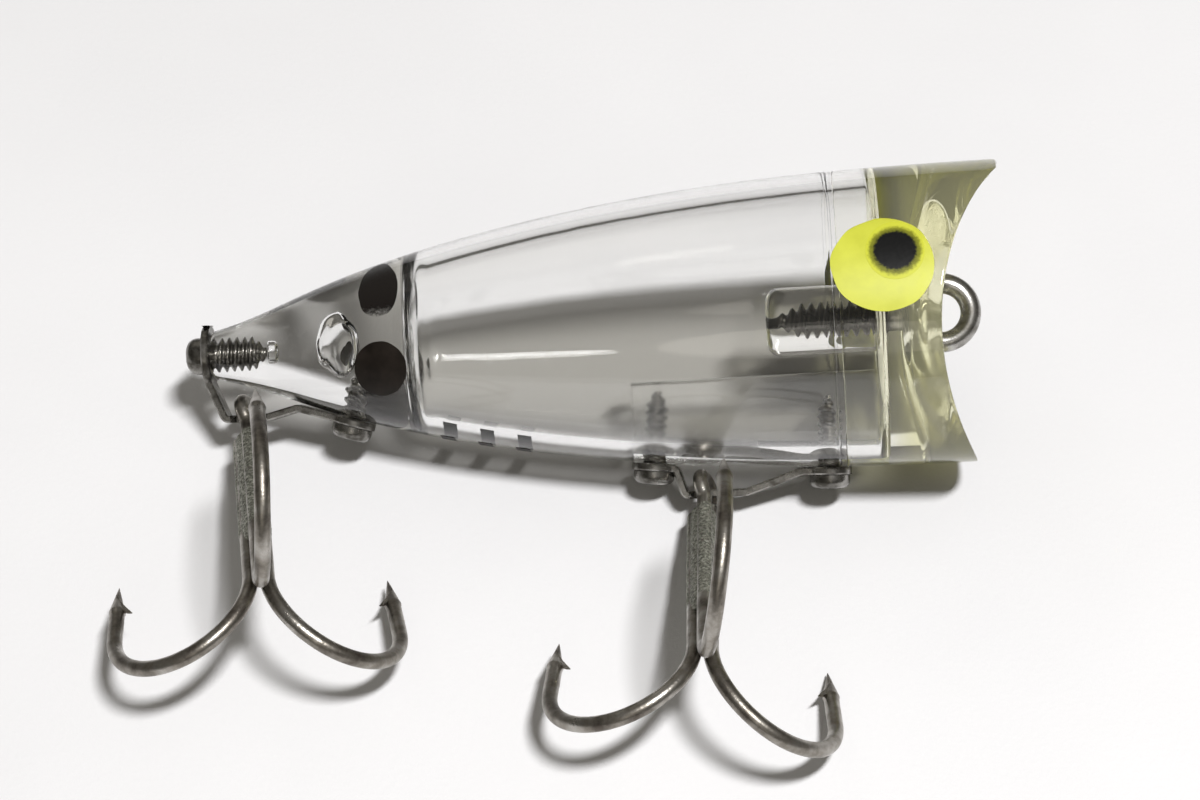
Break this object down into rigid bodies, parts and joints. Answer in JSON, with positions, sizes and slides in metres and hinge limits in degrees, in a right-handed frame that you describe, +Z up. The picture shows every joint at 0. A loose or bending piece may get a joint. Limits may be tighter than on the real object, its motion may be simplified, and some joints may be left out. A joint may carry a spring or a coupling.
{
  "type": "topwater popper lure",
  "caption": "clear hollow plastic popper with a scooped cup mouth, wire line tie, painted eyes and spots, and treble hooks swinging from screwed belly and tail hangers",
  "frame": {"origin": "centre of the footprint of the lure as it lies on a table, at table height", "axes": "+Z is up from the table, +X runs from the tail to the mouth and rises 5 degrees to it, and the belly faces down and towards -Y"},
  "size_m": [0.0698, 0.0502, 0.025],
  "materials": {
    "clear_plastic": "clear, polished, faintly warm",
    "clear_head_plastic": "clear, polished, faintly warm",
    "bright_steel": "dull nickel",
    "hook_steel": "dark bronzed wire",
    "braze": "rough, dull braze",
    "yellow_paint": "lemon yellow, sprayed",
    "black_paint": "black, sprayed"
  },
  "bodies": {
    "lure": {"body_shell": "clear_plastic", "head_cup": "clear_head_plastic", "line_tie": "bright_steel", "belly_hanger": "bright_steel", "belly_screw_rear": "bright_steel", "belly_screw_front": "bright_steel", "tail_hanger": "bright_steel", "tail_belly_screw": "bright_steel", "tail_end_screw": "bright_steel", "belly_bars": "black_paint", "right_eye": "yellow_paint", "left_eye": "yellow_paint", "right_pupil": "black_paint", "left_pupil": "black_paint", "right_lower_spot": "black_paint", "right_upper_spot": "black_paint", "left_lower_spot": "black_paint", "left_upper_spot": "black_paint"},
    "belly_hook": {"belly_hook_double": "hook_steel", "belly_hook_single": "hook_steel", "belly_hook_braze": "braze"},
    "tail_hook": {"tail_hook_double": "hook_steel", "tail_hook_single": "hook_steel", "tail_hook_braze": "braze"}
  },
  "joints": [
    {"name": "belly_hook_swing", "type": "hinge", "parent": "lure", "child": "belly_hook", "pos_m": [0.01154, 0.00298, 0.00231], "axis": [0.9962, 0, 0.0872], "range_deg": [-34, 156]},
    {"name": "tail_hook_swing", "type": "hinge", "parent": "lure", "child": "tail_hook", "pos_m": [-0.02549, 0.00916, 0.00447], "axis": [0.9962, 0, 0.0872], "range_deg": [-38, 150]}
  ]
}
